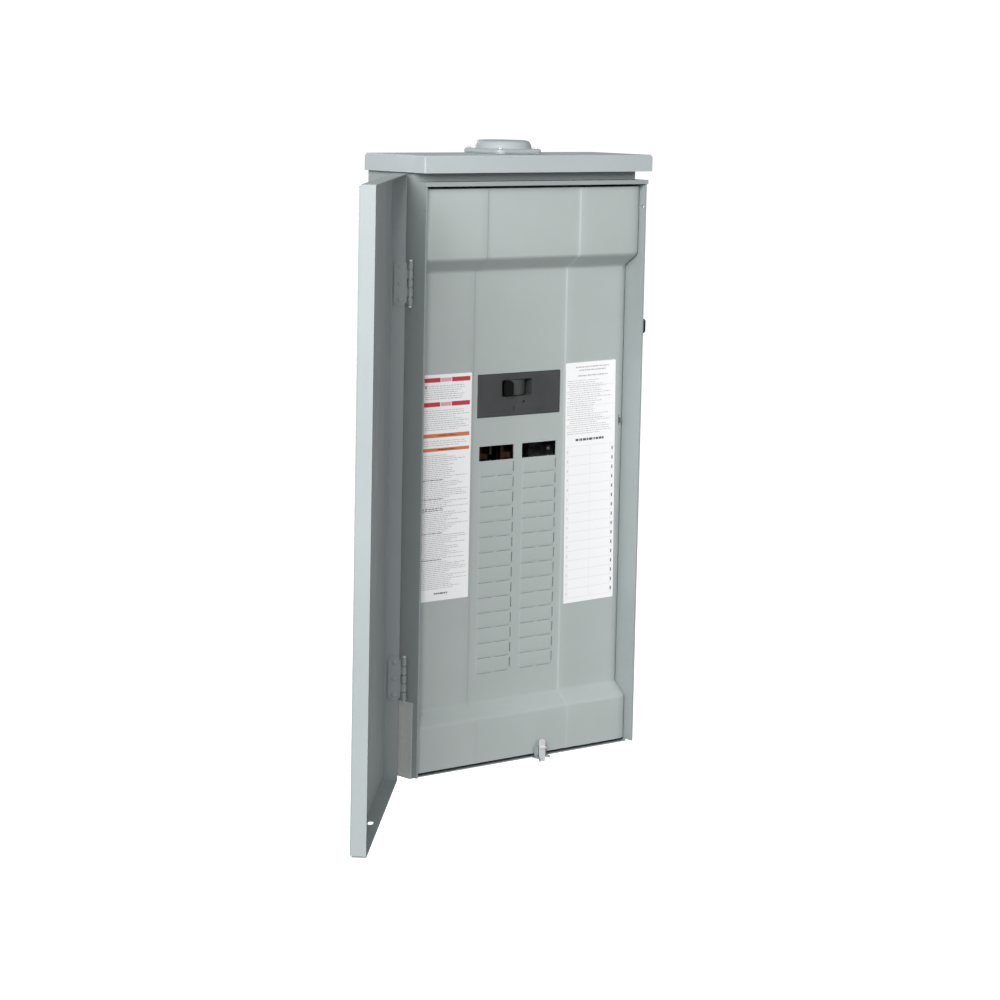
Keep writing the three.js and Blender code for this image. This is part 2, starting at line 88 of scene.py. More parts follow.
# ---------------------------------------------------------------- material helpers
class Nodes:
    """A new material and short calls to add nodes to it."""

    def __init__(self, name):
        self.material = bpy.data.materials.new(name)
        self.material.use_nodes = True
        self.tree = self.material.node_tree
        self.shader = self.tree.nodes["Principled BSDF"]
        self.where = self.add("ShaderNodeTexCoord").outputs["Object"]

    def add(self, kind, **values):
        node = self.tree.nodes.new(kind)
        for key, value in values.items():
            setattr(node, key, value)
        return node

    def link(self, a, b):
        self.tree.links.new(a, b)

    def noise(self, scale, detail=3.0, rough=0.5, stretch=None):
        node = self.add("ShaderNodeTexNoise")
        node.inputs["Scale"].default_value = scale
        node.inputs["Detail"].default_value = detail
        node.inputs["Roughness"].default_value = rough
        place = self.where
        if stretch:
            mapping = self.add("ShaderNodeMapping")
            mapping.inputs["Scale"].default_value = stretch
            self.link(place, mapping.inputs["Vector"])
            place = mapping.outputs["Vector"]
        self.link(place, node.inputs["Vector"])
        return node.outputs["Fac"]

    def spread(self, value, low, high, start=0.3, end=0.7):
        node = self.add("ShaderNodeMapRange")
        node.inputs["From Min"].default_value = start
        node.inputs["From Max"].default_value = end
        node.inputs["To Min"].default_value = low
        node.inputs["To Max"].default_value = high
        self.link(value, node.inputs["Value"])
        return node.outputs["Result"]

    def mix(self, amount, a, b):
        node = self.add("ShaderNodeMix", data_type="RGBA")
        self.link(amount, node.inputs["Factor"])
        for value, socket in ((a, node.inputs["A"]), (b, node.inputs["B"])):
            if isinstance(value, bpy.types.NodeSocket):
                self.link(value, socket)
            else:
                socket.default_value = (*value, 1)
        return node.outputs["Result"]

    def bump(self, height, strength, depth, below=None):
        node = self.add("ShaderNodeBump")
        node.inputs["Strength"].default_value = strength
        node.inputs["Distance"].default_value = depth
        self.link(height, node.inputs["Height"])
        if below is not None:
            self.link(below, node.inputs["Normal"])
        return node.outputs["Normal"]

    def edges(self, radius, start, end):
        """0 on flat ground, 1 on outer and inner edges."""
        bevel = self.add("ShaderNodeBevel", samples=4)
        bevel.inputs["Radius"].default_value = radius
        plain = self.add("ShaderNodeNewGeometry").outputs["Normal"]
        dot = self.add("ShaderNodeVectorMath", operation="DOT_PRODUCT")
        self.link(bevel.outputs["Normal"], dot.inputs[0])
        self.link(plain, dot.inputs[1])
        return self.spread(dot.outputs["Value"], 1, 0, start, end)

    def put(self, name, value):
        socket = self.shader.inputs[name]
        if isinstance(value, bpy.types.NodeSocket):
            self.link(value, socket)
        else:
            socket.default_value = value


def shade(color, by):
    return tuple(min(1, max(0, c * by)) for c in color)


def painted(name, color):
    """Baked enamel on sheet steel: orange peel, faint handling marks and thin paint on edges."""
    n = Nodes(name)
    cloud = n.noise(7, 4, 0.6)
    body = n.mix(n.spread(cloud, 0, 1), shade(color, 0.965), shade(color, 1.03))
    speck = n.noise(2600, 1)
    body = n.mix(n.spread(speck, 0, 0.16, 0.56, 0.74), body, shade(color, 0.72))
    worn = n.add("ShaderNodeMath", operation="MULTIPLY")
    n.link(n.edges(0.0007, 0.80, 0.97), worn.inputs[0])
    n.link(n.spread(n.noise(90, 3), 0, 0.35), worn.inputs[1])
    body = n.mix(worn.outputs["Value"], body, shade(color, 1.12))
    n.put("Base Color", body)
    smear = n.noise(26, 5, 0.65, (1, 1, 0.35))
    n.put("Roughness", n.spread(smear, 0.36, 0.51))
    peel = n.bump(n.noise(620, 2), 0.22, 0.00012)
    n.put("Normal", n.bump(n.noise(14, 2), 0.10, 0.0012, peel))
    n.put("Specular IOR Level", 0.3)
    return n.material


def plated(name, color, rough=0.3, grain=(1, 1, 18), wear=0.25, metal=1.0):
    """Plated steel or bar metal with a drawn grain."""
    n = Nodes(name)
    lines = n.noise(420, 3, 0.6, grain)
    tone = n.mix(n.spread(lines, 0, 1), shade(color, 0.86), shade(color, 1.08))
    dull = n.noise(60, 4)
    n.put("Base Color", n.mix(n.spread(dull, 0, wear), tone, shade(color, 0.62)))
    n.put("Metallic", metal)
    n.put("Roughness", n.spread(lines, rough - 0.07, rough + 0.12))
    n.put("Normal", n.bump(lines, 0.12, 0.00006))
    return n.material


def spangled(name, color, cells=130, contrast=0.16):
    """Galvanized sheet: crystal patches of slightly different tone and gloss."""
    n = Nodes(name)
    cell = n.add("ShaderNodeTexVoronoi")
    cell.inputs["Scale"].default_value = cells
    n.link(n.where, cell.inputs["Vector"])
    split = n.add("ShaderNodeSeparateColor")
    n.link(cell.outputs["Color"], split.inputs["Color"])
    patch = split.outputs["Red"]
    n.put("Base Color", n.mix(patch, shade(color, 1 - contrast), shade(color, 1 + contrast)))
    n.put("Metallic", 0.4)
    n.put("Roughness", n.spread(patch, 0.42, 0.62, 0, 1))
    n.put("Normal", n.bump(n.noise(500, 2), 0.12, 0.00008))
    return n.material


def moulded(name, color, rough=0.5, gloss=0.45):
    """Moulded phenolic or nylon with a fine spark-eroded texture."""
    n = Nodes(name)
    body = n.mix(n.spread(n.noise(24, 4), 0, 1), shade(color, 0.88), shade(color, 1.12))
    rub = n.edges(0.0006, 0.82, 0.98)
    n.put("Base Color", n.mix(rub, body, shade(color, 1.7)))
    n.put("Roughness", n.spread(n.noise(70, 3), rough - 0.08, rough + 0.08))
    n.put("Normal", n.bump(n.noise(1500, 2), 0.35, 0.00008))
    n.put("Specular IOR Level", gloss)
    return n.material


def rubbery(name, color):
    n = Nodes(name)
    n.put("Base Color", n.mix(n.spread(n.noise(50, 3), 0, 1), shade(color, 0.8), shade(color, 1.5)))
    n.put("Roughness", n.spread(n.noise(220, 2), 0.72, 0.9))
    n.put("Normal", n.bump(n.noise(900, 2), 0.4, 0.0001))
    return n.material


def papery(name, color):
    """Printed label stock: faint fibres and a slight unevenness where it is pressed down."""
    n = Nodes(name)
    fibre = n.noise(700, 4, 0.7, (1, 1, 3))
    n.put("Base Color", n.mix(n.spread(fibre, 0, 1), shade(color, 0.97), shade(color, 1.015)))
    n.put("Roughness", n.spread(fibre, 0.57, 0.67))
    n.put("Normal", n.bump(n.noise(40, 3), 0.12, 0.0004, n.bump(fibre, 0.1, 0.00004)))
    n.put("Specular IOR Level", 0.35)
    return n.material


LOOK = {
    "enclosure_paint": painted("enclosure_paint", (0.319, 0.355, 0.355)),
    "cover_paint": painted("cover_paint", (0.334, 0.370, 0.376)),
    # painted light: hood_paint is the enclosure grey made lighter, for the stronger light on the hood's
    # open faces
    "hood_paint": painted("hood_paint", (0.447, 0.492, 0.505)),
    "deadfront_paint": painted("deadfront_paint", (0.43, 0.475, 0.465)),
    "zinc_plate": plated("zinc_plate", (0.93, 0.935, 0.94), 0.3, metal=0.4),
    "galvanized_steel": spangled("galvanized_steel", (0.50, 0.52, 0.51)),
    "bus_aluminium": plated("bus_aluminium", (0.72, 0.73, 0.74), 0.36, (14, 1, 1)),
    # partly copper's own tint, partly painted shade: the copper is darkened far below its own tone so
    # the bus seen through the pole openings reads dark
    "bus_copper": plated("bus_copper", (0.20, 0.125, 0.085), 0.45, (14, 1, 1), 0.5),
    "breaker_plastic": moulded("breaker_plastic", (0.054, 0.057, 0.058)),
    # painted light: a lighter copy of breaker_plastic for the drum, against the shadow on its top; the
    # drum is the case's plastic
    "drum_lit_plastic": moulded("drum_lit_plastic", (0.066, 0.069, 0.070)),
    "black_plastic": moulded("black_plastic", (0.004, 0.004, 0.0045), 0.55, gloss=0.12),
    "black_rubber": rubbery("black_rubber", (0.012, 0.012, 0.013)),
    "green_zinc": plated("green_zinc", (0.06, 0.30, 0.12), 0.35),
    "label_paper": papery("label_paper", (0.93, 0.94, 0.945)),
    # painted light: a lighter copy of cover_paint for the closing plate, for the strong light on the
    # hood top
    "closing_plate_lit_paint": painted("closing_plate_lit_paint", (0.376, 0.416, 0.422)),
    "dull_spring_steel": plated("dull_spring_steel", (0.16, 0.165, 0.165), 0.5, metal=0.3),
    # painted light: a pale strip colour that stands in for the brighter lit patch of the left wall
    # below the lower hinge
    "painted_light_strip": spangled("painted_light_strip", (0.74, 0.755, 0.725), 420, 0.05),
    "grey_foam": rubbery("grey_foam", (0.30, 0.33, 0.335)),
}
INK = {
    "ink_grey": papery("ink_grey", (0.46, 0.47, 0.48)),
    "ink_dark": papery("ink_dark", (0.10, 0.10, 0.105)),
    "ink_red": papery("ink_red", (0.56, 0.045, 0.085)),
    "ink_pink": papery("ink_pink", (0.75, 0.40, 0.44)),
    "ink_orange": papery("ink_orange", (0.68, 0.21, 0.09)),
    "ink_pale": papery("ink_pale", (0.66, 0.67, 0.68)),
}


# ---------------------------------------------------------------- mesh helpers
def piece(name, bm, body, slot, extra=(), place=None):
    """A bmesh in millimetres becomes a named piece that rides on a body."""
    if place is not None:
        bm.transform(place)
    bm.transform(Matrix.Scale(MM, 4))
    mesh = bpy.data.meshes.new(name)
    bm.to_mesh(mesh)
    bm.free()
    obj = bpy.data.objects.new(name, mesh)
    scene.collection.objects.link(obj)
    for material in (LOOK[slot], *extra):
        mesh.materials.append(material)
    mesh.shade_smooth()
    mesh.set_sharp_from_angle(angle=math.radians(32))
    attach(obj, body)
    return obj


def baked(obj):
    """Applies the object's modifiers to its mesh."""
    bpy.context.view_layer.update()
    graph = bpy.context.evaluated_depsgraph_get()
    mesh = bpy.data.meshes.new_from_object(obj.evaluated_get(graph))
    obj.modifiers.clear()
    obj.data = mesh
    return obj


def as_object(bm):
    mesh = bpy.data.meshes.new("scratch")
    bm.to_mesh(mesh)
    bm.free()
    obj = bpy.data.objects.new("scratch", mesh)
    scene.collection.objects.link(obj)
    return obj


def as_bmesh(obj):
    bm = bmesh.new()
    bm.from_mesh(baked(obj).data)
    bpy.data.objects.remove(obj)
    return bm


def solidified(bm, thick):
    """Thickens a sheet to the side its faces point away from."""
    obj = as_object(bm)
    mod = obj.modifiers.new("thick", "SOLIDIFY")
    mod.thickness = thick
    mod.offset = -1
    mod.use_even_offset = True
    return as_bmesh(obj)


def carved(bm, tools, operation="DIFFERENCE"):
    """bm with each of the tool bmeshes cut out of it, or joined to it."""
    obj = as_object(bm)
    cutters = []
    for tool in tools:
        other = as_object(tool)
        mod = obj.modifiers.new("cut", "BOOLEAN")
        mod.operation = operation
        mod.solver = "EXACT"
        mod.object = other
        cutters.append(other)
    out = as_bmesh(obj)
    for other in cutters:
        bpy.data.objects.remove(other)
    return out


def softened(obj, width=0.3, segments=2, angle=40):
    """Breaks the sharp edges of a finished piece."""
    mod = obj.modifiers.new("soft", "BEVEL")
    mod.width = width * MM
    mod.segments = segments
    mod.limit_method = "ANGLE"
    mod.angle_limit = math.radians(angle)
    mod.harden_normals = True
    return obj


def boxy(lo, hi, radius=0.0, segments=3):
    bm = bmesh.new()
    size = [b - a for a, b in zip(lo, hi)]
    bmesh.ops.create_cube(bm, size=1)
    bmesh.ops.scale(bm, vec=size, verts=bm.verts)
    bmesh.ops.translate(bm, vec=[(a + b) / 2 for a, b in zip(lo, hi)], verts=bm.verts)
    if radius:
        bmesh.ops.bevel(bm, geom=bm.edges[:], offset=radius, segments=segments, affect="EDGES")
    return bm


def turned(profile, sides=32, place=None):
    """Spins (radius, height) points round Z. The profile starts and ends on the axis."""
    bm = bmesh.new()
    rings = []
    for r, z in profile:
        if r < 1e-6:
            rings.append([bm.verts.new((0, 0, z))])
            continue
        ring = []
        for i in range(sides):
            a = 2 * math.pi * i / sides
            ring.append(bm.verts.new((r * math.cos(a), r * math.sin(a), z)))
        rings.append(ring)
    for low, high in zip(rings, rings[1:]):
        for i in range(sides):
            j = (i + 1) % sides
            ring = [low[i % len(low)], low[j % len(low)], high[j % len(high)], high[i % len(high)]]
            ring = list(dict.fromkeys(ring))
            bm.faces.new(ring)
    bmesh.ops.recalc_face_normals(bm, faces=bm.faces[:])
    if place is not None:
        bm.transform(place)
    return bm


def joined(parts):
    out = bmesh.new()
    for part in parts:
        mesh = bpy.data.meshes.new("scratch")
        part.to_mesh(mesh)
        part.free()
        out.from_mesh(mesh)
        bpy.data.meshes.remove(mesh)
    return out


def tray(lo, hi, mouth, radius, thick, segments=4):
    """A pan bent from one sheet, open towards the unit vectors in mouth."""
    bm = boxy(lo, hi)
    bm.normal_update()
    gone = [f for f in bm.faces if any(f.normal.dot(Vector(m)) > 0.9 for m in mouth)]
    bmesh.ops.delete(bm, geom=gone, context="FACES")
    bends = [e for e in bm.edges if len(e.link_faces) == 2]
    bmesh.ops.bevel(bm, geom=bends, offset=radius, segments=segments, affect="EDGES")
    return solidified(bm, thick)


def at(x, y, z, facing="z"):
    """Places a piece made along Z so that its Z points along 'z', '-z', '-y', 'x' or '-x'."""
    turn = {
        "z": Matrix.Identity(4),
        "-z": Matrix.Rotation(math.pi, 4, "X"),
        "-y": Matrix.Rotation(math.pi / 2, 4, "X"),
        "x": Matrix.Rotation(math.pi / 2, 4, "Y"),
        "-x": Matrix.Rotation(-math.pi / 2, 4, "Y"),
    }[facing]
    return Matrix.Translation((x, y, z)) @ turn


# ---------------------------------------------------------------- shared sizes
SHEET = 1.2
HALF = 181.6
DEEP = 110
BOTTOM = -378.6
LEDGE = 347.6
HOOD_HALF = 188
HOOD_DEEP = 114.8
HOOD_TOP = 379.2
HOOD_DROP = 20.8
COVER_TOP = 357.2
COVER_BOTTOM = -381.8
COVER_FACE = -113.2
COVER_LIP = 18.4
HINGE = Vector((-185.6, -88.4, 0))
HINGE_TALL = 54
HINGE_MIDS = {"upper": 226.2, "lower": -255.5}
LATCH = (28, -105.6)
HUB = (0, -38.5)
PITCH = 19.05
ROWS = 15
FIRST_ROW = 20.1
POLE_IN = 6.8
POLE_OUT = 63.9
OPEN = (
    Matrix.Translation(HINGE)
    @ Matrix.Rotation(math.radians(-134.5), 4, "Z")
    @ Matrix.Translation(-HINGE)
)


# ---------------------------------------------------------------- enclosure
NECK_FRONT = -88
INNER = HALF - SHEET
FLOOR = BOTTOM + SHEET
BACK_SEAM = -11


def groove_ring(radius, place):
    """A closed square ring to cut a knockout's outline with."""
    w, d = 0.45, 0.4
    outline = [(radius - w, -d), (radius + w, -d), (radius + w, 3), (radius - w, 3), (radius - w, -d)]
    bm = turned(outline, 48)
    bmesh.ops.remove_doubles(bm, verts=bm.verts, dist=1e-4)
    bm.transform(place)
    return bm


def knockout_grooves():
    out = []
    for x, radii in ((-120, (31, 25, 17)), (-30, (25, 17)), (62, (31, 25, 17)), (138, (16, 11))):
        for r in radii:
            out.append(groove_ring(r, at(x, -46, BOTTOM, "-z")))
    for z in (-318, -262, 296):
        for r in (14, 11):
            out.append(groove_ring(r, at(HALF, -46, z, "x")))
            out.append(groove_ring(r, at(-HALF, -46, z, "-x")))
    for x in (-72, 72):
        for r in (16, 11):
            turn = Matrix.Translation((x, 0, -322)) @ Matrix.Rotation(-math.pi / 2, 4, "X")
            out.append(groove_ring(r, turn))
    return out


def weld_marks():
    """Shallow dished marks of the spot welds along the back seams and the end walls."""
    dish = [(0, -0.35), (1.2, -0.3), (2.0, -0.12), (2.3, 0.3), (2.3, 2), (0, 2)]
    out = []
    for side, facing in ((1, "x"), (-1, "-x")):
        for k in range(13):
            z = BOTTOM + 26 + k * 54
            out.append(turned(dish, 20, at(side * HALF, BACK_SEAM / 2, z, facing)))
        for y in (-30, -62, -92):
            out.append(turned(dish, 20, at(side * HALF, y, BOTTOM + 7, facing)))
    face_back = Matrix.Rotation(-math.pi / 2, 4, "X")
    for k in range(7):
        for z in (BOTTOM + 7, LEDGE - 9):
            out.append(turned(dish, 20, Matrix.Translation((-150 + 50 * k, 0, z)) @ face_back))
    return out


def seams():
    """Narrow lines where the end walls' and the wrapper's edges lie on the side walls."""
    w, d = 0.25, 0.35
    out = []
    for side in (-1, 1):
        x = sorted((side * (HALF - d), side * (HALF + 3)))
        out.append(boxy((x[0], BACK_SEAM - w, BOTTOM + 15), (x[1], BACK_SEAM + w, LEDGE - 16)))
        out.append(boxy((x[0], -DEEP + 4, BOTTOM + 14 - w), (x[1], -0.8, BOTTOM + 14 + w)))
    out.append(boxy((-HALF + 14, -d, BOTTOM + 14 - w), (HALF - 14, 3, BOTTOM + 14 + w)))
    return out


def enclosure_shell():
    neck_top = HOOD_TOP - SHEET - 0.3
    body = boxy((-HALF, -DEEP, BOTTOM), (HALF, 0, LEDGE))
    body = carved(body, [
        boxy((-HALF, NECK_FRONT, LEDGE - SHEET), (HALF, 0, neck_top)),
        boxy((-HALF - 1.4, -DEEP - 1.2, LEDGE - 5.2), (HALF + 1.4, -DEEP + SHEET, LEDGE)),
    ], "UNION")
    notch = FLOOR + SHEET + 0.4
    tab = 10
    set_back = -DEEP + 13
    rim = -DEEP + 6.5
    x, y = LATCH
    room = [
        boxy((-INNER, rim, FLOOR), (INNER, -SHEET, LEDGE - SHEET)),
        boxy((-INNER + SHEET, -DEEP - 5, FLOOR + SHEET), (INNER - SHEET, rim, LEDGE - 5.2)),
        boxy((-INNER, NECK_FRONT + SHEET, FLOOR), (INNER, -SHEET, neck_top - SHEET)),
        turned([(0, -5), (31, -5), (31, 5), (0, 5)], 64, at(*HUB, neck_top)),
        boxy((x - 7, -DEEP - 5, BOTTOM - 5), (x + 7, y + 4, FLOOR + 5)),
        boxy((-HALF - 5, -DEEP - 5, BOTTOM - 5), (x - tab, set_back, notch)),
        boxy((x + tab, -DEEP - 5, BOTTOM - 5), (HALF + 5, set_back, notch)),
    ]
    body = carved(body, room)
    holes = [
        turned([(0, -5), (2, -5), (2, 2 * HALF + 5), (0, 2 * HALF + 5)], 20,
               at(-HALF, -106, 313.5, "x")),
        turned([(0, -3), (1.5, -3), (1.5, 3), (0, 3)], 16, at(-HALF, -97.5, 306.5, "x")),
    ]
    for hx, hz in ((0, 322), (-128, -322), (128, -322)):
        holes.append(turned([(0, -5), (4, -5), (4, 5), (0, 5)], 24, at(hx, 0, hz, "-y")))
    marks = joined(holes + knockout_grooves() + weld_marks() + seams())
    obj = piece("enclosure_shell", carved(body, [marks]), "enclosure", "enclosure_paint")
    softened(obj, 0.35, 2, 60)
    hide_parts("enclosure_box")


enclosure_shell()


# ---------------------------------------------------------------- cover
def cover_panel():
    rim = COVER_FACE + COVER_LIP
    lo = (-HOOD_HALF, COVER_FACE, COVER_BOTTOM)
    hi = (HOOD_HALF, rim, COVER_TOP)
    shell = tray(lo, hi, [(0, 1, 0)], 2.0, SHEET)
    slot = boxy((LATCH[0] - 5, LATCH[1] - 3.2, COVER_BOTTOM - 5),
                (LATCH[0] + 13, LATCH[1] + 3.2, COVER_BOTTOM + 5), 1.5)
    obj = piece("cover_skin", carved(shell, [slot]), "cover", "cover_paint", place=OPEN)
    softened(obj, 0.25)
    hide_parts("door_panel")


cover_panel()


# ---------------------------------------------------------------- hood and closing plate
def rain_hood():
    lo = (-HOOD_HALF, -HOOD_DEEP, HOOD_TOP - HOOD_DROP)
    hi = (HOOD_HALF, -0.3, HOOD_TOP)
    shell = tray(lo, hi, [(0, 0, -1), (0, 1, 0)], 2.2, SHEET, 5)
    hole = turned([(0, -8), (31, -8), (31, 8), (0, 8)], 64, at(HUB[0], HUB[1], HOOD_TOP))
    # the hood takes hood_paint, the enclosure grey painted lighter for the stronger light on the hood
    obj = piece("hood_shell", carved(shell, [hole]), "enclosure", "hood_paint")
    softened(obj, 0.25)
    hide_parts("rain_hood")


def rounded_square(angle, half, corner):
    """How far the edge of a rounded square is from its middle in a direction."""
    c, s = abs(math.cos(angle)), abs(math.sin(angle))
    flat = half / max(c, s)
    inner = half - corner
    if min(c, s) * flat <= inner:
        return flat
    b = inner * (c + s)
    return b + math.sqrt(max(0, b * b - (2 * inner * inner - corner * corner)))


def closing_plate():
    """A rounded square plate that rises into a round boss. Rings are (size, height, is round):
    a square ring's size is a share of the plate's, a round one's is its radius."""
    low = HOOD_TOP + 1.6
    rise = 14.9
    sides = 128
    half = 36.5
    rings = [
        (1.0, 0.0, 0), (1.0, 3.2, 0), (0.992, 3.9, 0), (0.975, 4.35, 0), (0.955, 4.4, 0),
        (38.0, 4.4, 1), (36.9, 4.7, 1), (36.3, 5.5, 1), (35.7, 7.4, 1), (35.2, 9.4, 1),
        (34.6, 11.0, 1), (33.4, 12.9, 1), (31.6, 14.1, 1), (29.0, 14.75, 1), (26.0, rise, 1),
        (14.0, rise, 1), (7.0, rise, 1),
    ]
    bm = bmesh.new()
    loops = []
    for size, height, is_round in rings:
        loop = []
        for i in range(sides):
            a = 2 * math.pi * (i + 0.5) / sides
            edge = rounded_square(a, half, 9)
            r = min(size, edge - 0.4) if is_round else size * edge
            loop.append(bm.verts.new((r * math.cos(a), r * math.sin(a), height)))
        loops.append(loop)
    for one, two in zip(loops, loops[1:]):
        for i in range(sides):
            j = (i + 1) % sides
            bm.faces.new((one[i], one[j], two[j], two[i]))
    bm.faces.new(loops[-1])
    bmesh.ops.recalc_face_normals(bm, faces=bm.faces[:])
    bm = solidified(bm, 1.4)
    obj = piece("closing_plate", bm, "enclosure", "cover_paint", place=at(*HUB, low))
    # painted light: the plate gets a lighter copy of the cover grey
    obj.data.materials[0] = LOOK["closing_plate_lit_paint"]
    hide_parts("hub_closing_plate")


rain_hood()
closing_plate()


# ---------------------------------------------------------------- screws
def slotted_head(radius, height):
    dome = [(0, 0), (radius * 0.97, 0), (radius, height * 0.12), (radius, height * 0.42),
            (radius * 0.93, height * 0.72), (radius * 0.72, height * 0.92),
            (radius * 0.4, height), (0, height)]
    slot = boxy((-radius * 1.2, -0.16 * radius, height * 0.55),
                (radius * 1.2, 0.16 * radius, height * 2))
    return carved(turned(dome, 36), [slot])


def hex_washer_head(radius, height):
    washer = [(0, 0), (radius * 0.97, 0), (radius, height * 0.1), (radius * 0.98, height * 0.26),
              (radius * 0.8, height * 0.3), (0, height * 0.3)]
    six = bmesh.new()
    bmesh.ops.create_cone(six, segments=6, radius1=radius * 0.72, radius2=radius * 0.72,
                          depth=height * 0.8, cap_ends=True)
    bmesh.ops.translate(six, vec=(0, 0, height * 0.6), verts=six.verts)
    bmesh.ops.bevel(six, geom=six.edges[:], offset=radius * 0.06, segments=2, affect="EDGES")
    slot = boxy((-radius, -0.11 * radius, height * 0.66), (radius, 0.11 * radius, height * 2))
    return joined([turned(washer, 36), carved(six, [slot])])


def shank(radius, length):
    """A threaded shank hanging below a head, as a stack of shallow crests."""
    out = [(0, -length), (radius * 0.5, -length)]
    crest = 0.9
    z = -length + 0.8
    while z < -0.4:
        out.append((radius * 0.82, z))
        out.append((radius, z + crest * 0.45))
        z += crest
    out.append((radius * 0.8, -0.1))
    out.append((0, -0.1))
    return turned(out, 20)


def screw(node, facing, head, length, radius, spin=0.0, slot="zinc_plate"):
    """Replaces a CAD screw with one that has a slot in its head and a thread."""
    lo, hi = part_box(node)
    mid = (lo + hi) / 2 / MM
    seat = {"z": (mid.x, mid.y, lo.z / MM), "-y": (mid.x, hi.y / MM, mid.z)}[facing]
    tip = {"z": Vector((0, 0, 1)), "-y": Vector((0, -1, 0))}[facing]
    place = Matrix.Translation(Vector(seat) + tip * length) @ at(0, 0, 0, facing)
    place = place @ Matrix.Rotation(spin, 4, "Z")
    bm = joined([head, shank(radius, length)])
    obj = piece(node + "_detail", bm, "enclosure", slot, place=place)
    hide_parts(node)


for i in range(4):
    screw(f"hub_plate_screw_{i + 1}", "z", hex_washer_head(3.05, 1.9), 6.0, 1.55, 0.5 + 0.7 * i)
    screw(f"pan_screw_{i + 1}", "-y", hex_washer_head(4, 2.4), 6.6, 1.85, 0.3 + 0.9 * i)
screw("bonding_screw", "-y", slotted_head(4.6, 3.0), 0.2, 1.8, 0.8, "green_zinc")


# ---------------------------------------------------------------- deadfront
FRONT_UPPER = -102.4
FRONT_LOWER = -98.2
FRONT_MID = -80.3
FRONT_TOP = LEDGE - 8.6
FRONT_LOW = BOTTOM + 5.2
FRONT_HALF = 180.0
FIELD_EDGE = 77.4
FIELD_CREASE = 2.8
FIELD_DEEP = 0.9
FIELD_FADE = (-330, 60)
EDGE_ROLL = (163, 14, 2.4)
TWISTOUT_PROUD = 0.35
CLIP_X = 172.5
CLIP_MID = 39.5
WINDOW = (68.5, 55.7, 109.6)
STEPS = [(FRONT_LOW - 9, FRONT_LOWER), (-317.6, FRONT_LOWER), (-302.4, FRONT_MID),
         (238.2, FRONT_MID), (253.6, FRONT_UPPER), (FRONT_TOP + 9, FRONT_UPPER)]


def along(points, t):
    for (a, u), (b, v) in zip(points, points[1:]):
        if t <= b:
            return u + (v - u) * (t - a) / (b - a)
    return points[-1][1]


def face_depth(z, half_width=2.6):
    """The deadfront's depth at a height, with its folds rounded."""
    steps = 8
    total = sum(along(STEPS, z + half_width * (2 * i / steps - 1)) for i in range(steps + 1))
    return total / (steps + 1)


def ease(t):
    t = min(1, max(0, t))
    return t * t * (3 - 2 * t)


def lines_of(marks, low, high, widest):
    """Sorted grid lines through all marks, with no gap wider than widest."""
    marks = sorted({round(m, 4) for m in marks if low <= m <= high} | {low, high})
    out = [marks[0]]
    for a, b in zip(marks, marks[1:]):
        if b - a < 0.02:
            continue
        n = max(1, math.ceil((b - a) / widest))
        out += [a + (b - a) * (i + 1) / n for i in range(n)]
    return out


def twistouts():
    """(x0, x1, low, top, row) of each branch space, row by row."""
    out = []
    for side in (-1, 1):
        x0, x1 = (-POLE_OUT, -POLE_IN) if side < 0 else (POLE_IN, POLE_OUT)
        for row in range(ROWS):
            top = FIRST_ROW - row * PITCH
            out.append((x0, x1, top - PITCH, top, row))
    return out


def deadfront_holes():
    w, z0, z1 = WINDOW
    holes = [(-w, w, z0, z1)]
    for s in (-1, 1):
        holes.append((s * CLIP_X - 1.5, s * CLIP_X + 1.5, CLIP_MID - 6.5, CLIP_MID + 6.5))
    slit = 0.8
    hair = 0.4
    for x0, x1, low, top, row in twistouts():
        if row == 0:
            holes.append((x0, x1, low + slit, top))
            continue
        mid = (x0 + x1) / 2
        holes.append((x0 + 3, mid - 3, low, low + hair))
        holes.append((mid + 3, x1 - 3, low, low + hair))
        holes.append((x1 - slit, x1 + slit, low + 4, top - 3))
    return holes


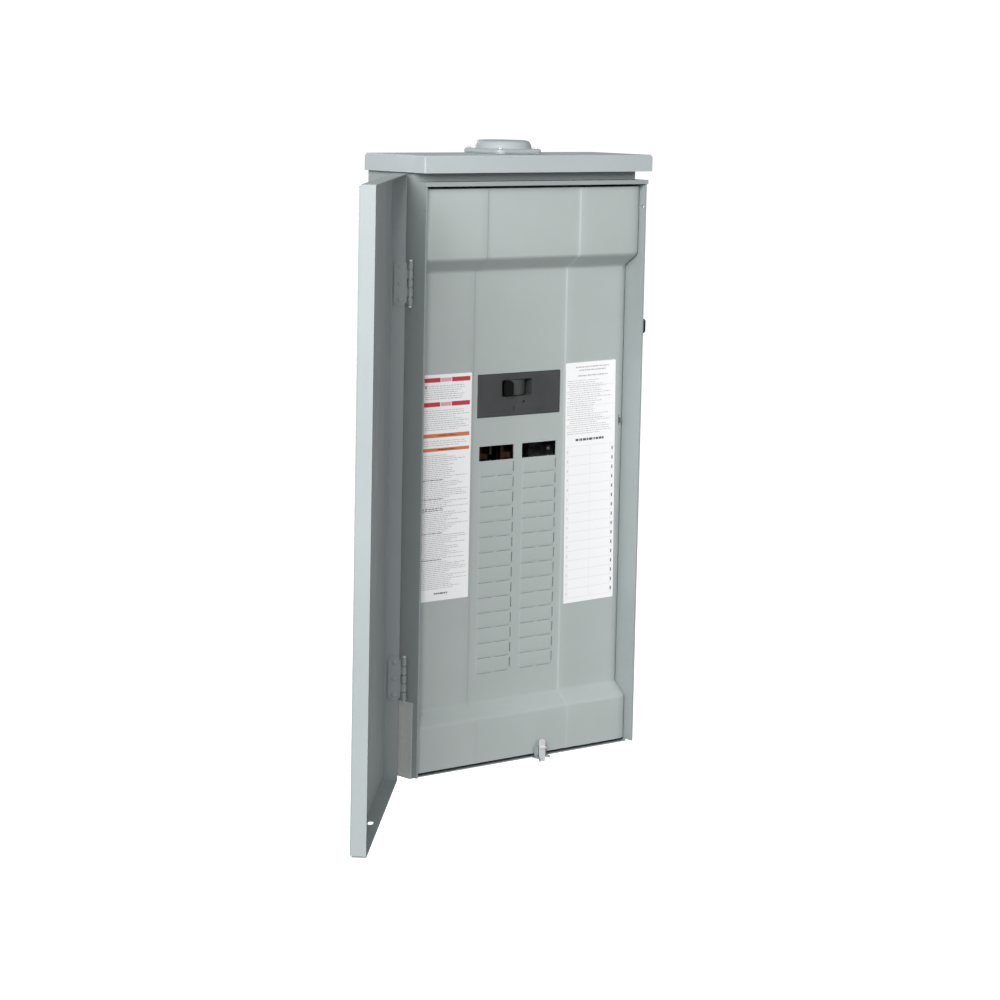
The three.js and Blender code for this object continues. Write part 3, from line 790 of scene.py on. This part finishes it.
def deadfront():
    holes = deadfront_holes()
    xs = [s * v for s in (-1, 1) for v in (74.6, 75.3, 76, 76.7, 77.4, 163, 166, 169, 172, 175)]
    zs = []
    for x0, x1, z0, z1 in holes:
        xs += [x0, x1]
        zs += [z0, z1]
    for x0, x1, low, top, row in twistouts():
        xs += [x0 + 1.9, x1 - 1.9, x0 + 0.9, x1 - 0.9]
        zs += [low + 1.9, top - 1.1, low + 0.9]
    for z, y in STEPS[1:-1]:
        zs += [z + 2.8 * k / 3 for k in (-3, -2, -1, 0, 1, 2, 3)]
    bend = 2.4
    xs = lines_of(xs, -FRONT_HALF + bend, FRONT_HALF - bend, 14)
    zs = lines_of(zs, FRONT_LOW, FRONT_TOP, 22)

    # each column: (x, extra depth). Past the face the sheet turns back round a bend.
    turns = 4
    edge = FRONT_HALF - bend
    tail = []
    for i in range(1, turns + 1):
        a = math.pi / 2 * i / turns
        tail.append((edge + bend * math.sin(a), bend * (1 - math.cos(a))))
    tail.append((FRONT_HALF, 12))
    columns = [(-x, d) for x, d in reversed(tail)] + [(x, 0) for x in xs] + tail

    def depth(x, z, extra):
        y = face_depth(z) + extra
        fade = 0.35 + 0.65 * ease((z - FIELD_FADE[0]) / FIELD_FADE[1])
        y += FIELD_DEEP * fade * ease((FIELD_EDGE - abs(x)) / FIELD_CREASE)
        start, width, roll = EDGE_ROLL
        y += roll * max(0, (abs(x) - start) / width) ** 2
        if POLE_IN < abs(x) < POLE_OUT and FIRST_ROW - ROWS * PITCH < z < FIRST_ROW:
            u = (abs(x) - POLE_IN) / (POLE_OUT - POLE_IN)
            v = ((FIRST_ROW - z) % PITCH) / PITCH
            inside = (min(u, 1 - u) * (POLE_OUT - POLE_IN), min(v, 1 - v) * PITCH)
            y -= TWISTOUT_PROUD * ease((min(inside) - 0.8) / 1.1)
        return y

    bm = bmesh.new()
    grid = [[bm.verts.new((x, depth(x, z, d), z)) for z in zs] for x, d in columns]
    for i in range(len(columns) - 1):
        for j in range(len(zs) - 1):
            mx = (columns[i][0] + columns[i + 1][0]) / 2
            mz = (zs[j] + zs[j + 1]) / 2
            if any(a < mx < b and c < mz < d for a, b, c, d in holes):
                continue
            bm.faces.new((grid[i][j], grid[i + 1][j], grid[i + 1][j + 1], grid[i][j + 1]))
    loose = [v for v in bm.verts if not v.link_faces]
    bmesh.ops.delete(bm, geom=loose, context="VERTS")
    bm.normal_update()
    obj = piece("deadfront_panel", solidified(bm, SHEET), "enclosure", "deadfront_paint")
    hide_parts("deadfront_trim")


deadfront()


# ---------------------------------------------------------------- printed labels
LABEL_FACE = FRONT_MID - 0.3
LABEL_IN = 79.2
LABEL_OUT = 165
WARNING_Z = (-165.5, 113.5)
DIRECTORY_Z = (-190, 117.6)
DIRECTORY_TILT = 0.9


def label_sheet(x0, x1, z0, z1):
    """A thin sheet with rounded corners."""
    bm = boxy((x0, LABEL_FACE - 0.2, z0), (x1, LABEL_FACE, z1))
    upright = [e for e in bm.edges if abs(e.verts[0].co.y - e.verts[1].co.y) > 0.1]
    bmesh.ops.bevel(bm, geom=upright, offset=0.6, segments=3, affect="EDGES")
    return bm


def print_mark(bm, x0, x1, z0, z1, ink):
    y = LABEL_FACE - 0.23
    face = bm.faces.new([bm.verts.new(p) for p in ((x0, y, z0), (x1, y, z0), (x1, y, z1), (x0, y, z1))])
    face.material_index = ink


def text_line(bm, rng, x0, x1, z, tall, ink, fill=0.85):
    """Greeked words: short bars of uneven length with gaps, no letters."""
    x = x0
    end = x0 + (x1 - x0) * fill
    while x < end:
        word = rng.uniform(1.2, 5.5)
        print_mark(bm, x, min(x + word, end), z, z + tall, ink)
        x += word + rng.uniform(0.8, 1.3)


GREY, DARK, RED, PINK, ORANGE, PALE = 1, 2, 3, 4, 5, 6
INK_ORDER = ("ink_grey", "ink_dark", "ink_red", "ink_pink", "ink_orange", "ink_pale")


def warning_label():
    rng = random.Random(7)
    x0, x1 = -LABEL_OUT, -LABEL_IN
    bm = label_sheet(x0, x1, *WARNING_Z)
    a, b = x0 + 2.5, x1 - 2.5
    for z in (104.0, 74.2):
        print_mark(bm, a, -129.5, z, z + 5.4, RED)
        print_mark(bm, -128.5, -112, z + 0.4, z + 5.0, PINK)
        print_mark(bm, -111, b, z, z + 5.4, RED)
    for z, tall in ((36.2, 4.8), (19.4, 4.0)):
        print_mark(bm, a, b, z, z + tall, ORANGE)
        text_line(bm, rng, -132, -104, z + tall / 2 - 0.5, 1.0, DARK, 1)
    for x, z in ((-160, 97), (-154, 97), (-160, 88)):
        print_mark(bm, x, x + 3.2, z, z + 3.2, DARK if x < -158 and z < 90 else GREY)
    for top, low in ((101, 82), (71, 44), (33.5, 26)):
        z = top - 2
        while z > low:
            text_line(bm, rng, a + (9 if top > 100 else 1), b, z, 0.75, GREY, rng.uniform(0.7, 1))
            z -= 2.6
    z = 14.0
    while z > -152:
        heading = rng.random() < 0.09
        fill = rng.uniform(0.55, 1) if not heading else 0.5
        text_line(bm, rng, a, b, z, 1.15 if heading else 0.72, DARK if heading else GREY, fill)
        z -= 2.35
    text_line(bm, rng, -134, -113, -157.6, 2.0, DARK, 1)
    inks = [INK[k] for k in INK_ORDER]
    obj = piece("warning_label_print", bm, "enclosure", "label_paper", inks)
    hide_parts("warning_label")


def circuit_directory():
    rng = random.Random(11)
    x0, x1 = LABEL_IN, LABEL_OUT
    bm = label_sheet(x0, x1, *DIRECTORY_Z)
    a, b = x0 + 3, x1 - 3
    for z, inset in ((110.5, 14), (106.5, 20), (99.5, 17)):
        text_line(bm, rng, a + inset, b - inset + 6, z, 1.5, GREY, 1)
    z = 94.0
    while z > 26:
        text_line(bm, rng, a + rng.choice((0, 0, 4)), b, z, 0.7, GREY, rng.uniform(0.5, 1))
        z -= 2.7
    for z in (87.0, 61.5, 45.0):
        print_mark(bm, a, b, z, z + 0.35, PALE)
    text_line(bm, rng, 97, 146, 17.2, 3.0, DARK, 1)
    rows = 16
    top = 10.5
    step = (top + 184) / rows
    for row in range(rows + 1):
        z = top - row * step
        print_mark(bm, a, b, z, z + 0.3, PALE)
        if row == rows:
            continue
        print_mark(bm, a + 0.8, a + 2.1, z - step * 0.68, z - step * 0.36, PALE)
        print_mark(bm, b - 2.3, b - 0.5, z - step * 0.70, z - step * 0.34, DARK)
    for x in (a, a + 3.4, (a + b) / 2, b - 3.4, b - 0.3):
        print_mark(bm, x, x + 0.25, top - rows * step, top, PALE)
    inks = [INK[k] for k in INK_ORDER]
    middle = Vector(((x0 + x1) / 2, 0, sum(DIRECTORY_Z) / 2))
    tilt = (
        Matrix.Translation(middle)
        @ Matrix.Rotation(math.radians(-DIRECTORY_TILT), 4, "Y")
        @ Matrix.Translation(-middle)
    )
    obj = piece("circuit_directory_print", bm, "enclosure", "label_paper", inks, place=tilt)
    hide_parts("circuit_directory")


warning_label()
circuit_directory()


# ---------------------------------------------------------------- main breaker
CASE_FACE = -80.6
PIVOT = (-4.4, -51.5)
DRUM = 28.5
HANDLE_Z = (81.0, 100.6)
HANDLE_AT = -28
THROW = (-30, 20)
TRIP_BUTTON = (7.1, 72.7)
MARK_X = (-10.3, -8.3)
MARK_Z = (61.8, 67.4)
CASE_HALF = 66
CASE_Z = (44, 140)
CASE_Y = (-77.7, -16.5)
THROAT = (16, 52)


def breaker_case():
    w, z0, z1 = WINDOW
    front = boxy((-w + 0.6, CASE_FACE, z0 + 0.6), (w - 0.6, CASE_FACE + 8, z1 - 0.6), 0.7)
    low, high = HANDLE_Z[0] - 0.8, HANDLE_Z[1] + 0.8
    rim = 2.6
    bezel = boxy((THROW[0] - rim, CASE_FACE - 0.4, low - rim),
                 (THROW[1] + rim, CASE_FACE + 2, high + rim), 0.8, 4)
    body = boxy((-CASE_HALF, CASE_Y[0], CASE_Z[0]), (CASE_HALF, CASE_Y[1], CASE_Z[1]), 1.2)
    cuts = [
        turned([(0, low), (DRUM + 0.8, low), (DRUM + 0.8, high), (0, high)], 64, at(*PIVOT, 0)),
        boxy((THROW[0], CASE_FACE - 5, low), (THROW[1], PIVOT[1], high), 0.8),
        turned([(0, -3), (1.9, -3), (1.9, 5), (0, 5)], 24,
               at(TRIP_BUTTON[0], CASE_FACE, TRIP_BUTTON[1], "-y")),
        boxy((MARK_X[0], CASE_FACE - 5, MARK_Z[0]), (MARK_X[1], CASE_FACE + 3, MARK_Z[1]), 0.4),
        boxy((-w + 4, CASE_FACE - 2, z0 + 3.4), (w - 4, CASE_FACE + 0.35, z0 + 4.0)),
        boxy((-w + 4, CASE_FACE - 2, z1 - 4.0), (w - 4, CASE_FACE + 0.35, z1 - 3.4)),
        boxy((-THROAT[1], -81, CASE_Z[1] - 12), (-THROAT[0], CASE_Y[1] - 6, CASE_Z[1] + 5)),
        boxy((THROAT[0], -81, CASE_Z[1] - 12), (THROAT[1], CASE_Y[1] - 6, CASE_Z[1] + 5)),
        boxy((-0.6, -80, WINDOW[2] + 2.4), (0.6, -76.5, CASE_Z[1] + 1)),
    ]
    bm = carved(front, [body, bezel], "UNION")
    obj = piece("breaker_case", carved(bm, cuts), "enclosure", "breaker_plastic")
    softened(obj, 0.25, 2, 50)
    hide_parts("main_breaker_case")


def breaker_handle():
    z0, z1 = HANDLE_Z
    r = DRUM
    drum = turned([(0, z0), (r - 0.6, z0), (r, z0 + 0.6), (r, z1 - 0.6), (r - 0.6, z1), (0, z1)], 96)
    lever = boxy((-6.0, -40.8, z0 + 0.8), (6.0, -DRUM + 3, z1 - 0.8), 1.4, 4)
    grooves = []
    for k in range(5):
        x = -4.0 + 2.0 * k
        grooves.append(boxy((x - 0.35, -43, z0 + 3), (x + 0.35, -40.1, z1 - 3)))
    lever = carved(lever, grooves)
    # the drum gets the lighter drum plastic: painted light against the shadow on its top
    for f in drum.faces:
        f.material_index = 1
    place = Matrix.Translation((*PIVOT, 0)) @ Matrix.Rotation(math.radians(HANDLE_AT), 4, "Z")
    bm = joined([drum, lever])
    obj = piece("breaker_handle", bm, "main_handle", "black_plastic", [LOOK["drum_lit_plastic"]],
                place=place)
    softened(obj, 0.2, 2, 50)
    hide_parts("main_breaker_handle")


breaker_case()
breaker_handle()


# ---------------------------------------------------------------- hinges
KNUCKLE = 3.2
BORE = 1.65


def knuckle(z0, z1):
    c = 0.35
    outer = [(BORE, z0), (KNUCKLE - c, z0), (KNUCKLE, z0 + c), (KNUCKLE, z1 - c), (KNUCKLE - c, z1),
             (BORE, z1), (BORE, z0)]
    bm = turned(outer, 40)
    bmesh.ops.remove_doubles(bm, verts=bm.verts, dist=1e-4)
    bm.transform(Matrix.Translation(HINGE))
    return bm


def leaf_plate(x0, x1, y0, y1, low, tall):
    bm = boxy((x0, y0, low), (x1, y1, low + tall))
    far = [e for e in bm.edges if abs(e.verts[0].co.x - e.verts[1].co.x) > 0.5]
    bmesh.ops.bevel(bm, geom=far, offset=3, segments=5, affect="EDGES")
    return bm


def rivet(x, y, z, facing):
    radius, tall = 3.0, 0.9
    dome = [(0, 0), (radius, 0), (radius * 0.96, tall * 0.4), (radius * 0.75, tall * 0.8),
            (radius * 0.35, tall), (0, tall)]
    return turned(dome, 24, at(x, y, z, facing))


def hinge_leaf(name, mid, on_cover):
    low = mid - HINGE_TALL / 2
    step = HINGE_TALL / 5
    parts = []
    for k in range(5):
        if (k % 2 == 1) != on_cover:
            continue
        z0 = low + k * step + 0.45
        parts.append(knuckle(z0, z0 + step - 0.9))
        if on_cover:
            parts.append(boxy((HINGE.x - 0.9, HINGE.y - 5, z0),
                              (HINGE.x + 0.3, HINGE.y - 2.2, z0 + step - 0.4)))
        else:
            parts.append(boxy((HINGE.x + 2.5, HINGE.y + 0.4, z0),
                              (-HALF - 0.3, HINGE.y + 5, z0 + step - 0.4)))
    if on_cover:
        x0, x1 = HINGE.x - 0.9, HINGE.x + 0.3
        parts.append(leaf_plate(x0, x1, HINGE.y - 20, HINGE.y - 4.4, low, HINGE_TALL))
        for z in (mid - 20, mid, mid + 20):
            parts.append(rivet(x1, HINGE.y - 12.5, z, "x"))
        body, place = "cover", OPEN
        slot = "cover_paint"
    else:
        x1 = -HALF - 0.3
        parts.append(leaf_plate(x1 - SHEET, x1, HINGE.y + 4.4, HINGE.y + 24, low, HINGE_TALL))
        for z in (mid - 20, mid, mid + 20):
            parts.append(rivet(x1 - SHEET, HINGE.y + 15, z, "-x"))
        body, place = "enclosure", None
        slot = "enclosure_paint"
    side = "door" if on_cover else "box"
    obj = piece(f"hinge_{side}_knuckles_{name}", joined(parts), body, slot, place=place)
    softened(obj, 0.2)
    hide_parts(f"hinge_{side}_leaf_{name}")


def hinge_pin(name, mid):
    low = mid - HINGE_TALL / 2
    top = low + HINGE_TALL
    shape = [(0, low - 1.8), (1.7, low - 1.8), (2.3, low - 1.3), (2.3, low - 0.4), (1.3, low - 0.4),
             (1.3, top + 0.4), (2.7, top + 0.4), (2.6, top + 1.1), (1.8, top + 1.6), (0, top + 1.8)]
    bm = turned(shape, 36, Matrix.Translation(HINGE))
    obj = piece(f"hinge_pin_{name}_turned", bm, "enclosure", "zinc_plate")
    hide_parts(f"hinge_pin_{name}")


for where, middle in HINGE_MIDS.items():
    hinge_leaf(where, middle, False)
    hinge_leaf(where, middle, True)
    hinge_pin(where, middle)


# ---------------------------------------------------------------- CAD nodes that stay
def keep(node, slot, width=0.4, segments=2):
    """A CAD node keeps its shape; its triangles are merged into faces and its edges broken."""
    obj = nodes[node]
    obj.data.materials.clear()
    obj.data.materials.append(LOOK[slot])
    flat = obj.modifiers.new("flat", "DECIMATE")
    flat.decimate_type = "DISSOLVE"
    flat.angle_limit = math.radians(1)
    softened(obj, width, segments, 30)


# nodes whose finish differs a little from their material slot's
OWN_LOOK = {
    "trim_clip_left": "dull_spring_steel",
    "trim_clip_right": "dull_spring_steel",
    # painted light: the side stiffener's pale colour stands in for the brighter lit patch of wall below
    # the lower hinge
    "side_stiffener": "painted_light_strip",
    "hub_gasket": "grey_foam",
    "latch_bracket": "enclosure_paint",
}
slots = {s["node"]: s["material_slot"] for s in frame["record"]["subparts"]}
for node_name in sorted(nodes):
    if not nodes[node_name].hide_render:
        keep(node_name, OWN_LOOK.get(node_name, slots[node_name]))


# ---------------------------------------------------------------- floor and light
def floor():
    bm = boxy((-20000, -20000, -720), (20000, 20000, -700))
    bm.transform(Matrix.Scale(MM, 4))
    obj = as_object(bm)
    obj.name = "floor"
    n = Nodes("floor")
    n.put("Base Color", n.mix(n.spread(n.noise(3), 0, 1), (0.30, 0.30, 0.30), (0.33, 0.33, 0.33)))
    n.put("Roughness", 0.9)
    n.put("Emission Color", (1, 1, 1, 1))
    seen = n.add("ShaderNodeLightPath").outputs["Is Camera Ray"]
    n.put("Emission Strength", n.spread(seen, 0, 1.05, 0, 1))
    obj.data.materials.append(n.material)


def area_light(name, place, look_at, side, power):
    data = bpy.data.lights.new(name, "AREA")
    data.shape = "SQUARE"
    data.size = side
    data.energy = power
    light = bpy.data.objects.new(name, data)
    light.location = place
    light.rotation_euler = (Vector(look_at) - Vector(place)).to_track_quat("-Z", "Y").to_euler()
    scene.collection.objects.link(light)


def world():
    data = bpy.data.worlds.new("studio")
    scene.world = data
    data.use_nodes = True
    tree = data.node_tree
    tree.nodes.clear()
    out = tree.nodes.new("ShaderNodeOutputWorld")
    mix = tree.nodes.new("ShaderNodeMixShader")
    ray = tree.nodes.new("ShaderNodeLightPath")
    for socket, strength in ((1, 0.25), (2, 1.05)):
        sky = tree.nodes.new("ShaderNodeBackground")
        sky.inputs["Color"].default_value = (1, 1, 1, 1)
        sky.inputs["Strength"].default_value = strength
        tree.links.new(sky.outputs["Background"], mix.inputs[socket])
    tree.links.new(ray.outputs["Is Camera Ray"], mix.inputs["Fac"])
    tree.links.new(mix.outputs["Shader"], out.inputs["Surface"])


floor()
world()
area_light("key", (-2.63, -1.98, 1.28), (0, 0, 0), 1.3, 136)
area_light("front", (0.4, -3.6, 0.8), (0, 0, 0), 1.6, 28)
area_light("back", (0.9, 3.1, 1.1), (0, 0, 0), 1.2, 55)
area_light("overhead", (0, -0.2, 2.6), (0, -0.05, 0.3), 1.2, 3)
